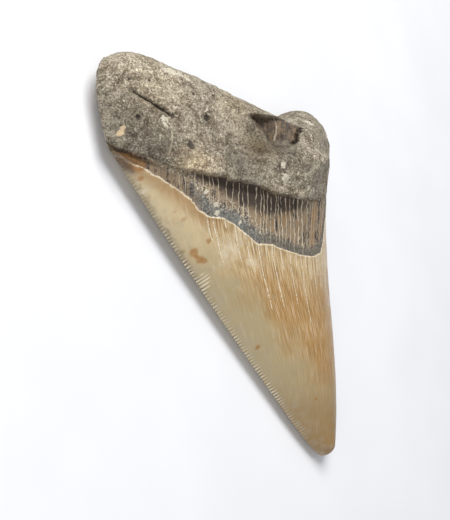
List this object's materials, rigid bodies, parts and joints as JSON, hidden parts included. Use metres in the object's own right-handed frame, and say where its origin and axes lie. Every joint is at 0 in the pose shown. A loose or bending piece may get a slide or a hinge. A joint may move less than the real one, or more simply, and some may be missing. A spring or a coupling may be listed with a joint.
{
  "type": "fossil megalodon tooth",
  "caption": "Large serrated fossil shark tooth: smooth triangular crown with a dark band under a thick two-lobed root, lying on its flatter face.",
  "frame": {"origin": "centre of the bounding box at the surface that the tooth lies on", "axes": "+Y from the crown's tip towards the root, +Z out of the display (lingual) face, +X to the right with the tip pointing at the viewer"},
  "size_m": [0.0962, 0.1093, 0.0266],
  "materials": {
    "fossil": "satin enamel crown, rough grey-brown mineralised root"
  },
  "bodies": {
    "root": {"tooth": "fossil"}
  },
  "joints": []
}
